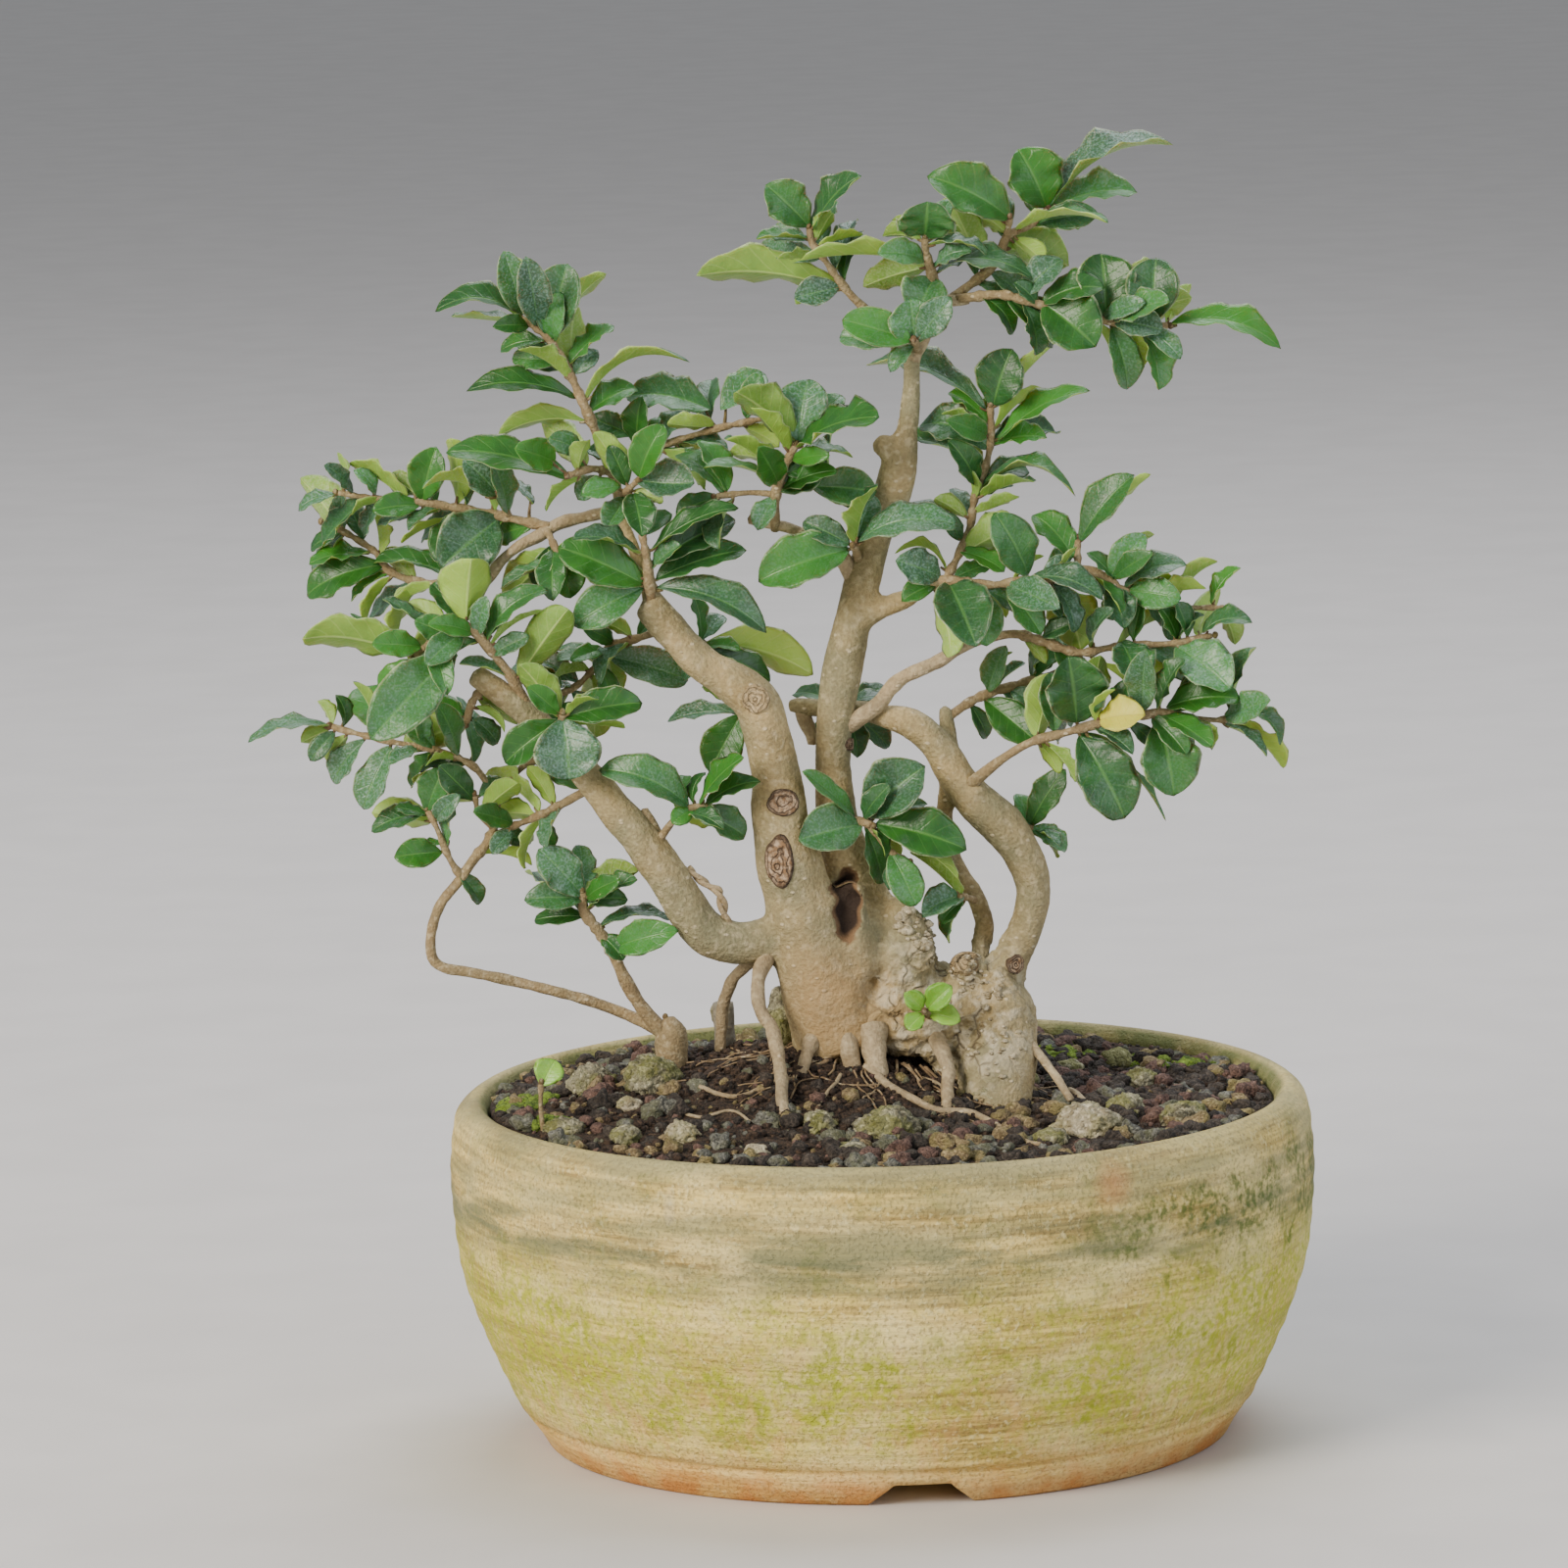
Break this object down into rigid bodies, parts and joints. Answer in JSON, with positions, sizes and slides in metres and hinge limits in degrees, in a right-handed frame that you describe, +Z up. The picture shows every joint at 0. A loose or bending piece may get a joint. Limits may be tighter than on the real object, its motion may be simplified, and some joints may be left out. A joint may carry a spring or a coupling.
{
  "type": "bonsai tree in pot",
  "caption": "Wild privet bonsai with a forked, bent trunk and loose sprays of small wavy leaves in a round buff clay pot.",
  "frame": {"origin": "middle of the whole outline seen from above, on the surface that the pot's foot stands on", "axes": "+Z up along the tallest extent, +X to the viewer's right, the viewer looks along +Y"},
  "size_m": [0.2675, 0.22, 0.3275],
  "materials": {
    "pot_clay": "unglazed buff clay, weathered",
    "soil": "dark gritty soil with gravel and moss",
    "bark": "tan to grey bark with pores and scars",
    "leafy_stem": "green leaves with pale edges, satin",
    "young_leaf": "yellow-green young leaves, satin",
    "stones": "mossy rough stone"
  },
  "bodies": {
    "root": {"pot": "pot_clay", "soil": "soil", "trunk_and_branches": "bark", "cut_stub": "bark", "stone_1": "stones", "stone_2": "stones", "stone_3": "stones", "stone_4": "stones", "stone_5": "stones", "stone_6": "stones", "stone_7": "stones", "stone_8": "stones", "stone_9": "stones", "stone_10": "stones", "stone_11": "stones", "side_stem": "leafy_stem", "tip_left_spray": "leafy_stem", "upper_left_spray": "leafy_stem", "upper_centre_left_spray": "leafy_stem", "inner_left_spray": "leafy_stem", "left_crown_spray": "leafy_stem", "far_left_back_spray": "leafy_stem", "left_hanging_spray": "leafy_stem", "left_mid_spray": "leafy_stem", "limb_tip_spray": "leafy_stem", "fork_spray": "leafy_stem", "behind_branch_spray": "leafy_stem", "limb_underside_spray": "leafy_stem", "trunk_left_spray": "leafy_stem", "limb_upper_spray": "leafy_stem", "limb_side_spray": "leafy_stem", "limb_mid_spray": "leafy_stem", "centre_spray": "leafy_stem", "leader_left_spray": "leafy_stem", "front_spray": "leafy_stem", "leader_back_spray": "leafy_stem", "right_limb_spray": "leafy_stem", "inner_limb_spray": "leafy_stem", "spur_spray": "leafy_stem", "right_low_spray": "leafy_stem", "right_mid_spray": "leafy_stem", "right_upper_spray": "leafy_stem", "apex_left_spray": "leafy_stem", "apex_mid_spray": "leafy_stem", "apex_leader_leaf": "leafy_stem", "apex_right_spray": "leafy_stem", "apex_far_right_spray": "leafy_stem", "trunk_sprout": "young_leaf", "weed_seedling": "young_leaf"}
  },
  "joints": []
}
